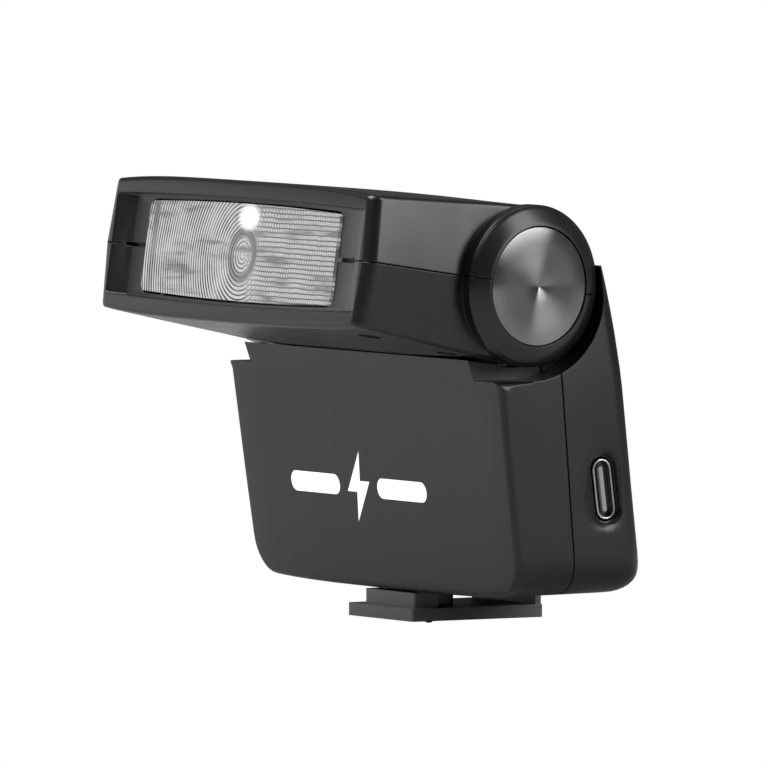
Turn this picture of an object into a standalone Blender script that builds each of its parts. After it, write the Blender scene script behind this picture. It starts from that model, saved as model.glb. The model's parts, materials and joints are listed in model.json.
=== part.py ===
"""Compact camera-top flash with a tilting head, made as separate pieces.

Frame: +Z up, X across the width, the flash window faces -Y. The origin is the centre of
the shoe foot's sole. Lengths are written in millimetres and MM turns them into metres
where a mesh is made. Body pieces are drawn around the hinge axis as (x, y, z), and head
pieces in the head's own frame as (x, y, z) with -y along the beam and z up from the axis.
"""

import math

import bmesh
import bpy
from mathutils import Matrix, Vector

MM = 0.001

# Driving dimensions, in millimetres and degrees.
HINGE_Y = -7.27           # hinge axis behind the foot's centre, negative is forward
HINGE_Z = 50.35            # hinge axis above the foot's sole
HEAD_REST = 8.5           # upward tilt of the head at rest
GAP = 0.3                 # clearance between neighbouring pieces
WALL = 1.8                # casing thickness

BODY_HALF = 38.9          # half width of the body at the ledge
BODY_TAPER = 0.031         # loss of half width per millimetre going down
BODY_BOTTOM = -46.0       # underside, from the hinge axis
LEDGE = -13.3             # height of the shoulders beside the tongue
TONGUE_TOP = -7.6       # top of the central tongue
TONGUE_HALF = 32.0        # half width of the central tongue
SHOULDER_TOP = 2.6        # top of the rear shell behind the barrel
LEAN = 0.1275             # forward lean of the body, millimetre per millimetre
FRONT_AT_LEDGE = -6.75     # front face where the tongue starts to curve forward
TONGUE_CURVE_Z = -15.1

BARREL_R = 11.7           # barrel of the head between its end rings
RING_R = 11.85            # end rings of the barrel
RING_IN = 34.4            # where an end ring starts along X
RING_OUT = 38.5           # outer face of an end ring, on the hinge axis
END_TILT = 0.1405         # the end rings face a little to the rear, millimetre per millimetre
DISC_R = 8.65             # metal disc set into each end ring
CRADLE_R = 12.4           # body hollow under the barrel
SCOOP_R = 12.95            # body hollow beside the end rings
SCOOP_Y = -0.7           # its centre from the hinge axis
SCOOP_Z = -0.35

HEAD_FRONT = 29.2         # front rim, from the hinge axis
HEAD_HALF_W = 38.4        # half width of the head at its front
HEAD_HALF_H = 9.55        # half height of the head at its front
FLANK_HALF_W = 36.5       # half width of the head beside the barrel
SIDE_DRAFT = 0.9          # the sides are this much wider at the split line
CROWN = 0.9               # rise of the top and bottom edges at their middle
POCKET_FLOOR = 28.8       # floor of the window pocket, from the hinge axis
POCKET_HALF_W = 35.7
POCKET_HALF_H = 7.5
LENS_FRONT = 28.5         # front of the window, from the hinge axis
LENS_HALF_W = 27.6
LENS_HALF_H = 6.65

SHAFT_R = 2.0
ARM_X = 24.0              # inner face of each hinge arm
ARM_THICK = 1.4
ARM_HALF_Y = 2.5

FOOT_W = 18.6
FOOT_L = 22.4
FOOT_T = 1.9
PIN_HINGE_Y = 4.4         # firing contact, behind the hinge axis
BOSS_R = 3.6              # housing of the contact, above the foot plate
FOOT_SCREW_X = 4.8
FOOT_SCREW_Y = 0.5

REAR_LEAN = 0.126         # lean of the rear face, millimetre per millimetre
PORT_FACE = 35.6          # mouth of the charging port
PORT_Y = 12.8
PORT_Z = -30.0
PORT_HALF_Z = 4.47
PORT_HALF_Y = 1.58
PANEL_Z = -22.5           # indicator window on the rear face
PANEL_HALF_X = 16.0
PANEL_HALF_Z = 3.4
BUTTON_Z = -35.5
BUTTONS = (("power_button", -23.0, 3.3), ("mode_button", -11.0, 2.5),
           ("minus_button", 0.0, 2.5), ("plus_button", 11.0, 2.5),
           ("test_button", 23.0, 3.3))
CASE_SCREWS = ((-30.2, -40.3), (30.2, -40.3), (-30.2, -18.5), (30.2, -18.5))
HEAD_SCREWS = ((-30.5, 22.5), (30.5, 22.5), (-30.5, 9.0), (30.5, 9.0))


# ---------------------------------------------------------------- materials

def material(name, colour, roughness, metallic=0.0, alpha=1.0):
    """Return a Principled material, made once for each name."""
    found = bpy.data.materials.get(name)
    if found:
        return found
    made = bpy.data.materials.new(name)
    made.use_nodes = True
    shader = made.node_tree.nodes["Principled BSDF"]
    shader.inputs["Base Color"].default_value = (*colour, 1.0)
    shader.inputs["Roughness"].default_value = roughness
    shader.inputs["Metallic"].default_value = metallic
    shader.inputs["Alpha"].default_value = alpha
    made.diffuse_color = (*colour, alpha)
    return made


def casing():
    return material("casing_plastic", (0.022, 0.022, 0.023), 0.42)


def window():
    return material("window_clear", (0.92, 0.93, 0.94), 0.08, 0.0, 0.5)


def spun_metal():
    return material("spun_dark_metal", (0.11, 0.11, 0.12), 0.3, 1.0)


def steel():
    return material("plated_steel", (0.55, 0.55, 0.56), 0.28, 1.0)


def foot_plastic():
    return material("foot_plastic", (0.07, 0.07, 0.072), 0.45)


def button_plastic():
    return material("button_plastic", (0.05, 0.05, 0.052), 0.5)


def board():
    return material("circuit_board", (0.02, 0.12, 0.05), 0.5)


# ---------------------------------------------------------------- mesh tools

def finish(name, mesh, finish_material, parent=None):
    """Link a mesh, given in metres, as a named and smoothed object."""
    mesh.name = name
    mesh.shade_smooth()
    mesh.set_sharp_from_angle(angle=math.radians(32))
    thing = bpy.data.objects.new(name, mesh)
    bpy.context.scene.collection.objects.link(thing)
    thing.data.materials.append(finish_material)
    if parent:
        thing.parent = parent
    return thing


def mesh_from(points, faces):
    """Build a mesh from millimetre points, with all faces turned outward."""
    mesh = bpy.data.meshes.new("piece")
    mesh.from_pydata([Vector(point) * MM for point in points], [], faces)
    work = bmesh.new()
    work.from_mesh(mesh)
    bmesh.ops.recalc_face_normals(work, faces=work.faces)
    work.to_mesh(mesh)
    work.free()
    return mesh


def loft(rings):
    """Skin closed rings of equal length, and close both ends."""
    size = len(rings[0])
    points = [point for ring in rings for point in ring]
    faces = [tuple(range(size))]
    for row in range(len(rings) - 1):
        for i in range(size):
            j = (i + 1) % size
            low = row * size
            high = low + size
            faces.append((low + i, low + j, high + j, high + i))
    last = (len(rings) - 1) * size
    faces.append(tuple(last + i for i in range(size)))
    return mesh_from(points, faces)


def rounded(corners, steps=3):
    """Turn (u, v, radius) corners into an outline with round corners."""
    outline = []
    count = len(corners)
    for i, (u, v, radius) in enumerate(corners):
        here = Vector((u, v))
        back = (Vector(corners[i - 1][:2]) - here).normalized()
        ahead = (Vector(corners[(i + 1) % count][:2]) - here).normalized()
        if radius <= 0:
            outline.append((u, v))
            continue
        half = back.angle(ahead) / 2
        centre = here + (back + ahead).normalized() * radius / math.sin(half)
        start = here + back * radius / math.tan(half) - centre
        sweep = start.angle_signed(here + ahead * radius / math.tan(half) - centre)
        for k in range(steps + 1):
            turn = Matrix.Rotation(-sweep * k / steps, 2)
            outline.append(tuple(centre + turn @ start))
    return outline


def rounded_box(half_u, half_v, radius, steps=3):
    """Outline of a rectangle with round corners, about its centre."""
    corners = [(half_u, -half_v, radius), (half_u, half_v, radius),
               (-half_u, half_v, radius), (-half_u, -half_v, radius)]
    return rounded(corners, steps)


def crowned_box(half_u, half_v, radius, rise, steps=3):
    """Rectangle with round corners whose long edges bow outward by the rise."""
    across = [0.66, 0.33, 0.0, -0.33, -0.66]
    upper = [(u * half_u, half_v + rise * (1 - u * u), 0.0) for u in across]
    lower = [(-u, -v, 0.0) for u, v, _ in upper]
    corners = [(half_u, -half_v, radius), (half_u, half_v, radius), *upper,
               (-half_u, half_v, radius), (-half_u, -half_v, radius), *lower]
    return rounded(corners, steps)


def along_x(outline, x0, x1):
    """Extrude a (y, z) outline between two places along X."""
    return loft([[(x, y, z) for y, z in outline] for x in (x0, x1)])


def along_y(outline, y0, y1):
    """Extrude an (x, z) outline between two places along Y."""
    return loft([[(x, y, z) for x, z in outline] for y in (y0, y1)])


def along_z(outline, z0, z1):
    """Extrude an (x, y) outline between two places along Z."""
    return loft([[(x, y, z) for x, y in outline] for z in (z0, z1)])


def box(x0, x1, y0, y1, z0, z1):
    return along_z([(x0, y0), (x1, y0), (x1, y1), (x0, y1)], z0, z1)


def circle(radius, steps=32, u=0.0, v=0.0):
    """Outline of a circle."""
    turns = [2 * math.pi * i / steps for i in range(steps)]
    return [(u + radius * math.cos(a), v + radius * math.sin(a)) for a in turns]


def sector(inner, outer, start, end, steps=14):
    """(y, z) outline of a ring sector; angles in degrees from straight down to the rear."""
    turns = [math.radians(start + (end - start) * i / steps) for i in range(steps + 1)]
    outside = [(outer * math.sin(a), -outer * math.cos(a)) for a in turns]
    inside = [(inner * math.sin(a), -inner * math.cos(a)) for a in reversed(turns)]
    return outside + inside


def turned_x(profile, steps=32):
    """Turn an (x, radius) profile around the X axis; it starts and ends on the axis."""
    rings = []
    for x, radius in profile:
        rings.append([(x, y, z) for y, z in circle(radius, steps)])
    return loft(rings)


def tube_x(inner, outer, x0, x1, steps=24):
    """Ring with a through bore, along X."""
    points = []
    for x, radius in ((x0, outer), (x1, outer), (x1, inner), (x0, inner)):
        points += [(x, y, z) for y, z in circle(radius, steps)]
    faces = []
    for row in range(4):
        low = row * steps
        high = (row + 1) % 4 * steps
        for i in range(steps):
            j = (i + 1) % steps
            faces.append((low + i, low + j, high + j, high + i))
    return mesh_from(points, faces)


def boolean(thing, mesh, operation="DIFFERENCE"):
    """Cut a mesh from an object, or join it, and keep the result as its mesh."""
    cutter = bpy.data.objects.new("cutter", mesh)
    bpy.context.scene.collection.objects.link(cutter)
    cutter.parent = thing.parent
    step = thing.modifiers.new("step", "BOOLEAN")
    step.operation = operation
    step.solver = "EXACT"
    step.object = cutter
    bpy.context.view_layer.update()
    graph = bpy.context.evaluated_depsgraph_get()
    result = bpy.data.meshes.new_from_object(thing.evaluated_get(graph))
    thing.modifiers.remove(step)
    old = thing.data
    thing.data = result
    bpy.data.meshes.remove(old)
    bpy.data.objects.remove(cutter)
    thing.data.name = thing.name
    return thing


def cut(thing, *meshes):
    for mesh in meshes:
        boolean(thing, mesh)
    return thing


def join(thing, *meshes):
    for mesh in meshes:
        boolean(thing, mesh, "UNION")
    return thing


def shifted(mesh, x=0.0, y=0.0, z=0.0, turn_x=0.0):
    """Turn a mesh about X, in degrees, then move it by millimetres."""
    mesh.transform(Matrix.Rotation(math.radians(turn_x), 4, "X"))
    mesh.transform(Matrix.Translation(Vector((x, y, z)) * MM))
    return mesh


# ---------------------------------------------------------------- frames

def clear_scene():
    for thing in list(bpy.data.objects):
        bpy.data.objects.remove(thing, do_unlink=True)


def axis_frame(name, turn_x=0.0):
    """Empty on the hinge axis; pieces are drawn around it."""
    frame = bpy.data.objects.new(name, None)
    bpy.context.scene.collection.objects.link(frame)
    frame.location = (0.0, HINGE_Y * MM, HINGE_Z * MM)
    frame.rotation_euler.x = math.radians(turn_x)
    return frame


# ---------------------------------------------------------------- body casing

def front_y(z):
    """Front face of the body at a height."""
    if z > TONGUE_CURVE_Z:
        return FRONT_AT_LEDGE - (z - TONGUE_CURVE_Z) * 0.36
    return FRONT_AT_LEDGE + (TONGUE_CURVE_Z - z) * LEAN


def rear_y(z):
    """Rear face of the body at a height: a lean, then a curve in towards the barrel."""
    straight = 16.9 + (-17.0 - z) * REAR_LEAN
    if z <= -17.0:
        return straight
    return straight - 0.0035 * (z + 17.0) ** 2


def edge_inset(rise, radius):
    """How far a rounded lower edge is drawn in, at a height above its lowest line."""
    if rise >= radius:
        return 0.0
    return radius - math.sqrt(radius ** 2 - (radius - rise) ** 2)


def body_ring(z, inset):
    """Outline of the body at a height, drawn in by the inset on every side."""
    rise = max(z - BODY_BOTTOM - inset, 0.0)
    half = BODY_HALF - BODY_TAPER * max(LEDGE - z, 0.0) - inset
    half -= edge_inset(rise, 5.5)
    front = front_y(z) + inset + edge_inset(rise, 0.6)
    rear = rear_y(z) - inset - edge_inset(rise, 3.0)
    rear_half = half - 2.4
    corners = [(half, front, 0.9), (rear_half, rear, 3.4 - inset),
               (-rear_half, rear, 3.4 - inset), (-half, front, 0.9)]
    tilt = max(0.0, 1.0 - rise / 15.0)
    ring = []
    for x, y in rounded(corners, 3):
        lift = tilt * (0.008 * (y - front) + 1.0 * (x / BODY_HALF) ** 4)
        ring.append((x, y, z + lift))
    return ring


def body_block(inset, top):
    """Closed block with the outline of the body."""
    rises = (0.0, 0.6, 1.7, 3.4, 6.0, 16.0)
    heights = [BODY_BOTTOM + inset + rise for rise in rises]
    heights += [TONGUE_CURVE_Z, TONGUE_TOP, -5.0, 0.0, SHOULDER_TOP]
    return loft([body_ring(z, inset) for z in heights if z < top] + [body_ring(top, inset)])


def barrel_hollow(radius, x0, x1, y=0.0, z=0.0):
    return along_x(circle(radius, 64, y, z), x0, x1)


def seam_y(z):
    """Joint between the front and rear shells."""
    return 4.2 + (-12.6 - z) * 0.097


def beyond_seam(side):
    """Block on the rear (+1) or front (-1) of the seam, reaching half a gap across it."""
    low, high, reach = -60.0, 20.0, 60.0
    edge = [(seam_y(z) - side * GAP / 2, z) for z in (low, high)]
    away = [(seam_y(z) + side * reach, z) for z in (high, low)]
    return along_x(edge + away, -60.0, 60.0)


def end_region(side, inner):
    """Sorted X range from an inner place out past one end of the body."""
    return sorted((side * inner, side * 45.0))


def body_hollow(body):
    """Space inside the body, kept a wall away from the cradle and the end scoops."""
    hollow = finish("hollow", body_block(WALL, LEDGE + 6.0), casing(), body)
    cut(hollow, barrel_hollow(CRADLE_R + 1.6, -40, 40))
    for side in (-1, 1):
        near, far = end_region(side, TONGUE_HALF - 2.0)
        cut(hollow, barrel_hollow(SCOOP_R + 1.8, near, far, SCOOP_Y, SCOOP_Z))
        cut(hollow, box(near, far, -20, 30, LEDGE - 1.8, 10))
    space = hollow.data.copy()
    bpy.data.objects.remove(hollow)
    return space


def under_head():
    """Block that keeps the tongue a gap below the head's underside at rest."""
    edge = [(0.0, 20.0), (-HEAD_FRONT, 20.0)]
    for ahead in (HEAD_FRONT, 20.0, 14.0, 10.0, 7.0, 4.0, 2.0, 0.0):
        edge.append((-ahead, -head_half_h(ahead) - head_crown(ahead) - GAP))
    return shifted(along_x(edge, -45.0, 45.0), turn_x=-HEAD_REST)


def body_casing(name, body, away):
    """Hollow body with its cradle; the part on the away side of the seam is cut off."""
    shell = finish(name, body_block(0.0, SHOULDER_TOP), casing(), body)
    cut(shell, barrel_hollow(CRADLE_R, -33.6, 33.6))
    for side in (-1, 1):
        near, far = end_region(side, TONGUE_HALF)
        cut(shell, barrel_hollow(SCOOP_R, near, far, SCOOP_Y, SCOOP_Z))
        cut(shell, box(near, far, -20, SCOOP_Y, LEDGE, 10))
    cut(shell, box(-45, 45, -20, 0, TONGUE_TOP, 10), under_head())
    cut(shell, beyond_seam(away))
    cut(shell, body_hollow(body))
    cut(shell, along_z(circle(BOSS_R + GAP, 32, 0.0, PIN_HINGE_Y), -50, -43))
    return shell


def front_shell(body):
    """Front half: face, tongue and sides up to the seam, open for the hinge arms."""
    shell = body_casing("front_shell", body, 1)
    for side in (-1, 1):
        near, far = sorted((side * (ARM_X - 0.6), side * (ARM_X + ARM_THICK + 0.6)))
        cut(shell, box(near, far, -ARM_HALF_Y - 0.8, ARM_HALF_Y + 0.8, -17, -9))
        cut(shell, along_z(circle(1.0, 16, side * FOOT_SCREW_X, FOOT_SCREW_Y), -50, -43))
    return shell


def rear_shell(body):
    """Rear half, with the charging port, the window, the button and the screw holes."""
    shell = body_casing("rear_shell", body, -1)
    cut(shell, port_block(PORT_HALF_Z + 0.9, PORT_HALF_Y + 0.4, PORT_FACE - 0.2, 45))
    cut(shell, port_block(PORT_HALF_Z + GAP, PORT_HALF_Y + GAP, 30, 45))
    pane = rounded_box(PANEL_HALF_X + GAP, PANEL_HALF_Z + GAP, 1.6)
    cut(shell, on_rear(pane, PANEL_Z, (-4, 3)))
    for _, x, radius in BUTTONS:
        cut(shell, on_rear(circle(radius + GAP, 28, x), BUTTON_Z, (-4, 3)))
    for x, z in CASE_SCREWS:
        cut(shell, on_rear(circle(1.8, 16, x), z, (-1.25, 3)))
        cut(shell, on_rear(circle(1.2, 16, x), z, (-4, 3)))
    return shell


# ---------------------------------------------------------------- rear face and port

def on_rear(outline, z, depths):
    """Skin an (x, v) outline standing on the rear face, v running up the face."""
    lean = math.atan(REAR_LEAN)
    rings = []
    for depth in depths:
        rings.append([(x,
                       rear_y(z) + depth * math.cos(lean) - v * math.sin(lean),
                       z + depth * math.sin(lean) + v * math.cos(lean))
                      for x, v in outline])
    return loft(rings)


def port_block(half_z, half_y, x0, x1):
    """Slot-shaped block along X, leaning with the body."""
    lean = math.atan(LEAN)
    outline = []
    for y, z in rounded_box(half_y, half_z, half_y * 0.98, 5):
        outline.append((PORT_Y + y * math.cos(lean) - z * math.sin(lean),
                        PORT_Z + y * math.sin(lean) + z * math.cos(lean)))
    return along_x(outline, x0, x1)


def charging_port(body):
    """Plated sleeve, closed at its back, with the contact tongue inside it."""
    sleeve = finish("charging_port_sleeve",
                    port_block(PORT_HALF_Z, PORT_HALF_Y, 28.0, PORT_FACE), steel(), body)
    cut(sleeve, port_block(PORT_HALF_Z - 0.3, PORT_HALF_Y - 0.3, 28.6, PORT_FACE + 1))
    finish("charging_port_tongue", port_block(3.34, 0.35, 28.9, PORT_FACE - 0.4),
           material("contact_tongue", (0.6, 0.6, 0.6), 0.4), body)


def rear_controls(body):
    """Indicator window, light guide, rubber keypad and the five buttons."""
    pane = rounded_box(PANEL_HALF_X, PANEL_HALF_Z, 1.4)
    finish("indicator_window", on_rear(pane, PANEL_Z, (-1.5, -0.15)),
           material("smoked_window", (0.01, 0.01, 0.012), 0.08), body)
    guide = rounded_box(PANEL_HALF_X - 2.0, PANEL_HALF_Z - 1.2, 0.5, 1)
    finish("light_guide", on_rear(guide, PANEL_Z, (-5.6, -1.9)),
           material("light_guide_clear", (0.8, 0.82, 0.85), 0.2, 0.0, 0.6), body)
    pad = rounded_box(28.0, 4.2, 1.5)
    finish("keypad_membrane", on_rear(pad, BUTTON_Z, (-5.4, -4.6)),
           material("keypad_rubber", (0.06, 0.06, 0.062), 0.8), body)
    for name, x, radius in BUTTONS:
        push_button(name, x, radius)


def rear_frame(name, x, z):
    """Empty on the rear face, its +Y pointing straight out of the face."""
    frame = bpy.data.objects.new(name, None)
    bpy.context.scene.collection.objects.link(frame)
    frame.location = (x * MM, (rear_y(z) + HINGE_Y) * MM, (z + HINGE_Z) * MM)
    frame.rotation_euler.x = math.atan(REAR_LEAN)
    return frame


def push_button(name, x, radius):
    """Round button with a flange that keeps it behind the casing."""
    profile = ((-3.9, radius + 0.7), (-2.6, radius + 0.7), (-2.6, radius),
               (0.4, radius), (0.65, radius - 0.25))
    rings = []
    for y, reach in profile:
        rings.append([(u, y, v) for u, v in circle(reach, 28)])
    finish(name, loft(rings), button_plastic(), rear_frame(name + "_axis", x, BUTTON_Z))


# ---------------------------------------------------------------- parts inside the body

def inner_parts(body):
    """Board, cell, storage capacitor and transformer, leaning with the rear face."""
    finish("main_board", on_rear(rounded_box(27.4, 11.5, 0.8), -31.0, (-8.1, -6.9)),
           board(), body)
    cell = [(x - 17.2, v) for x, v in rounded_box(13.2, 10.5, 1.6)]
    finish("battery_cell", on_rear(cell, -31.0, (-16.3, -8.8)),
           material("cell_wrap", (0.35, 0.37, 0.4), 0.45), body)
    can = turned_x([(2.5, 4.5), (3.0, 5.0), (30.0, 5.0), (31.0, 4.5)], 28)
    finish("storage_capacitor", shifted(can, y=3.9, z=-36.6),
           material("capacitor_sleeve", (0.03, 0.03, 0.035), 0.35), body)
    core = [(x + 11.0, v) for x, v in rounded_box(6.0, 4.0, 0.6, 1)]
    finish("boost_transformer", on_rear(core, -25.6, (-14.6, -8.5)),
           material("ferrite", (0.08, 0.08, 0.085), 0.7), body)


def hinge_bracket(body):
    """Steel U-bracket whose arms carry the hinge shaft inside the barrel."""
    outer = ARM_X + ARM_THICK
    outline = [(-outer, -19.0), (outer, -19.0), (outer, 3.6), (ARM_X, 3.6),
               (ARM_X, -17.5), (-ARM_X, -17.5), (-ARM_X, 3.6), (-outer, 3.6)]
    bracket = finish("hinge_bracket", along_y(outline, -ARM_HALF_Y, ARM_HALF_Y),
                     steel(), body)
    cut(bracket, along_x(circle(SHAFT_R + GAP, 24), -30, -20))
    cut(bracket, along_x(circle(SHAFT_R + GAP, 24), 20, 30))
    shaft = [(-34.4, SHAFT_R - 0.3), (-34.1, SHAFT_R), (34.1, SHAFT_R), (34.4, SHAFT_R - 0.3)]
    finish("hinge_shaft", turned_x(shaft, 24), steel(), body)
    spring = [(-2.2, -7.3), (2.2, -7.3), (2.2, -6.8), (0.7, -6.8), (0.0, -6.4),
              (-0.7, -6.8), (-2.2, -6.8)]
    finish("detent_spring", along_x(spring, -29.2, -ARM_X - ARM_THICK - GAP), steel(), body)


def screw(name, parent, place, turn_x, head, shank_end):
    """Countersunk screw along its own +Z, head at the bottom, with a cross recess."""
    rings = []
    for z, radius in ((0.0, head), (0.5, head), (0.9, 0.8), (shank_end, 0.8)):
        rings.append([(x, y, z) for x, y in circle(radius, 16)])
    mesh = loft(rings)
    piece = finish(name, mesh, steel())
    for half_x, half_y in ((1.0, 0.22), (0.22, 1.0)):
        cut(piece, box(-half_x, half_x, -half_y, half_y, -0.5, 0.35))
    shifted(piece.data, *place, turn_x=turn_x)
    piece.parent = parent
    return piece


def case_screws(body):
    """Four screws that enter through the rear shell."""
    lean = math.degrees(math.atan(REAR_LEAN))
    for number, (x, z) in enumerate(CASE_SCREWS, 1):
        inward = 0.4
        place = (x, rear_y(z) - inward, z)
        screw(f"case_screw_{number}", body, place, 90.0 + lean, 1.45, 8.0)


# ---------------------------------------------------------------- shoe foot

def shoe_foot():
    """Foot plate with its front neck, contact housing and rear wall, drawn from the sole."""
    front, rear = -FOOT_L / 2, FOOT_L / 2
    pin_y = PIN_HINGE_Y + HINGE_Y
    under = HINGE_Z + BODY_BOTTOM - GAP
    foot = finish("shoe_foot", along_z(rounded(
        [(FOOT_W / 2, front, 0.4), (FOOT_W / 2, rear, 0.4),
         (-FOOT_W / 2, rear, 0.4), (-FOOT_W / 2, front, 0.4)], 2), 0.0, FOOT_T), foot_plastic())
    neck = rounded([(7.1, front + 1.65, 0.4), (7.1, front + 5.95, 0.4),
                    (-7.1, front + 5.95, 0.4), (-7.1, front + 1.65, 0.4)], 2)
    wall = [(-9.0, rear - 1.2), (9.0, rear - 1.2), (9.0, rear - 0.2), (-9.0, rear - 0.2)]
    join(foot, along_z(neck, 1.0, under), along_z(wall, 1.0, under + 0.7))
    join(foot, along_z(circle(BOSS_R, 32, 0.0, pin_y), 1.0, 8.5))
    cut(foot, along_z(circle(1.15, 20, 0.0, pin_y), -1.0, 2.0))
    cut(foot, along_z(circle(2.2, 24, 0.0, pin_y), 1.0, 7.6))
    for side in (-1, 1):
        hole = circle(1.1, 16, side * FOOT_SCREW_X, FOOT_SCREW_Y + HINGE_Y)
        cut(foot, along_z(hole, 2.2, 6.0))
    return foot


def contact_pin():
    """Sprung firing contact: a tapered tip, a stem and a flange inside the housing."""
    profile = ((-0.9, 0.45), (-0.7, 0.62), (0.0, 0.85), (1.3, 0.85), (1.3, 1.8), (1.8, 1.8))
    rings = []
    for z, radius in profile:
        rings.append([(x, y, z) for x, y in circle(radius, 24)])
    axis = bpy.data.objects.new("contact_pin_axis", None)
    bpy.context.scene.collection.objects.link(axis)
    axis.location = (0.0, (PIN_HINGE_Y + HINGE_Y) * MM, 0.0)
    finish("contact_pin", loft(rings), steel(), axis)
    spring = coil(1.45, 0.22, 2.9, 7.2, 4.0)
    finish("contact_spring", spring, steel(), axis)


def coil(radius, wire, z0, z1, turns, steps=14, sides=6):
    """Round wire wound around the Z axis."""
    rings = []
    count = int(turns * steps)
    pitch = (z1 - z0) / turns
    slope = math.atan(pitch / (2 * math.pi * radius))
    for i in range(count + 1):
        turn = 2 * math.pi * i / steps
        out = Vector((math.cos(turn), math.sin(turn), 0.0))
        along = Vector((-math.sin(turn), math.cos(turn), 0.0))
        up = Vector((0.0, 0.0, math.cos(slope))) - along * math.sin(slope)
        centre = out * radius + Vector((0.0, 0.0, z0 + (z1 - z0) * i / count))
        ring = []
        for k in range(sides):
            angle = 2 * math.pi * k / sides
            ring.append(tuple(centre + wire * (out * math.cos(angle) + up * math.sin(angle))))
        rings.append(ring)
    return loft(rings)


def foot_screws():
    """Two screws from inside the body into the neck of the foot."""
    for name, side in (("foot_screw_left", -1), ("foot_screw_right", 1)):
        place = (side * FOOT_SCREW_X, FOOT_SCREW_Y + HINGE_Y, HINGE_Z + BODY_BOTTOM + 3.0)
        screw(name, None, place, 180.0, 1.2, 4.4)


# ---------------------------------------------------------------- head casing

def head_half_h(ahead):
    """Half height of the head, flaring from its front to the barrel."""
    share = (HEAD_FRONT - ahead) / HEAD_FRONT
    return HEAD_HALF_H + (BARREL_R - 0.03 - HEAD_HALF_H) * share


def head_crown(ahead):
    """Rise of the top and bottom edges at their middle, fading out at the barrel."""
    share = (HEAD_FRONT - ahead) / HEAD_FRONT
    return CROWN * (1.0 - share ** 4)


def head_ring(ahead, inset, narrow=0.0):
    """Outline of the head at a distance ahead of the hinge axis."""
    share = (HEAD_FRONT - ahead) / HEAD_FRONT
    half_h = head_half_h(ahead) - inset
    half_w = HEAD_HALF_W + (FLANK_HALF_W - HEAD_HALF_W) * min(share / 0.6, 1.0)
    half_w -= 1.45 * inset + narrow
    top_w = half_w - SIDE_DRAFT
    corner = max(1.8 - inset, 0.4)
    corners = [(top_w, -half_h, corner), (half_w, 0.0, 0.0), (top_w, half_h, corner)]
    across = [0.8, 0.4, 0.0, -0.4, -0.8]
    rise = head_crown(ahead)
    corners += [(u * top_w, half_h + rise * (1 - u ** 4), 0.0) for u in across]
    corners += [(-top_w, half_h, corner), (-half_w, 0.0, 0.0), (-top_w, -half_h, corner)]
    corners += [(-u * top_w, -half_h - rise * (1 - u ** 4), 0.0) for u in across]
    return [(x, -ahead, z) for x, z in rounded(corners, 3)]


def tilted(mesh, side):
    """Lean a mesh at one end of the barrel, so that its outer face looks a little back."""
    for vertex in mesh.vertices:
        vertex.co.x -= side * END_TILT * vertex.co.y
    return mesh


def head_casing(name, head, upper):
    """One shell of the head: window rim, flanks and its half of the barrel."""
    front = ((29.2, 1.4), (28.9, 0.6), (28.0, 0.0), (20.0, 0.0), (9.0, 0.0), (0.85, 0.0))
    shell = finish(name, loft([head_ring(a, 0.0, n) for a, n in front]), casing(), head)
    for side in (-1, 1):
        near, far = sorted((side * 35.1, side * 45.0))
        cut(shell, tilted(along_x(circle(13.1, 48), near, far), side))
    join(shell, turned_x([(-35.1, BARREL_R), (35.1, BARREL_R)], 64))
    for side in (-1, 1):
        ring = [(side * RING_IN, RING_R), (side * (RING_OUT - 1.5), RING_R),
                (side * (RING_OUT - 0.5), RING_R - 0.45), (side * RING_OUT, RING_R - 1.5)]
        join(shell, tilted(turned_x(ring, 64), side))
        near, far = sorted((side * (RING_OUT - 1.3), side * 45.0))
        cut(shell, tilted(along_x(circle(DISC_R + GAP, 48), near, far), side))
    space = finish("space", loft([head_ring(a, WALL) for a in (27.7, 14.0, 0.85)]),
                   casing(), head)
    join(space, turned_x([(-33.5, 9.9), (33.5, 9.9)], 48))
    cut(shell, space.data.copy())
    bpy.data.objects.remove(space)
    cut(shell, along_x(circle(4.3, 24), -35.0, 35.0))
    pocket = crowned_box(POCKET_HALF_W, POCKET_HALF_H, 0.5, 0.5, 2)
    cut(shell, along_y(pocket, -40.0, -POCKET_FLOOR))
    opening = crowned_box(LENS_HALF_W + GAP, LENS_HALF_H + GAP, 1.4, 0.5)
    cut(shell, along_y(opening, -30.0, -24.0))
    slot = sector(9.0, 13.0, -18.0, 108.0)
    for side in (-1, 1):
        near, far = sorted((side * (ARM_X - 0.6), side * (ARM_X + ARM_THICK + 0.6)))
        cut(shell, along_x(slot, near, far))
    low, high = (-20.0, GAP / 2) if upper else (-GAP / 2, 20.0)
    cut(shell, box(-50, 50, -40, 20, low, high))
    return shell


def lower_head_shell(head):
    shell = head_casing("lower_head_shell", head, False)
    for x, ahead in HEAD_SCREWS:
        floor = -head_half_h(ahead) + 1.25
        cut(shell, along_z(circle(1.8, 16, x, -ahead), -15.0, floor))
        cut(shell, along_z(circle(1.1, 16, x, -ahead), -15.0, floor + 3.0))
        place = (x, -ahead, floor - 1.2)
        screw(f"head_screw_{HEAD_SCREWS.index((x, ahead)) + 1}", head, place, 0.0, 1.45, 9.0)
    return shell


# ---------------------------------------------------------------- parts of the head

def end_discs(head):
    """Spun metal discs set into the end rings."""
    for name, side in (("end_disc_left", -1), ("end_disc_right", 1)):
        disc = [(side * (RING_OUT - 1.0), DISC_R), (side * (RING_OUT - 0.15), DISC_R),
                (side * RING_OUT, DISC_R - 0.15)]
        finish(name, tilted(turned_x(disc, 64), side), spun_metal(), head)


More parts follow.
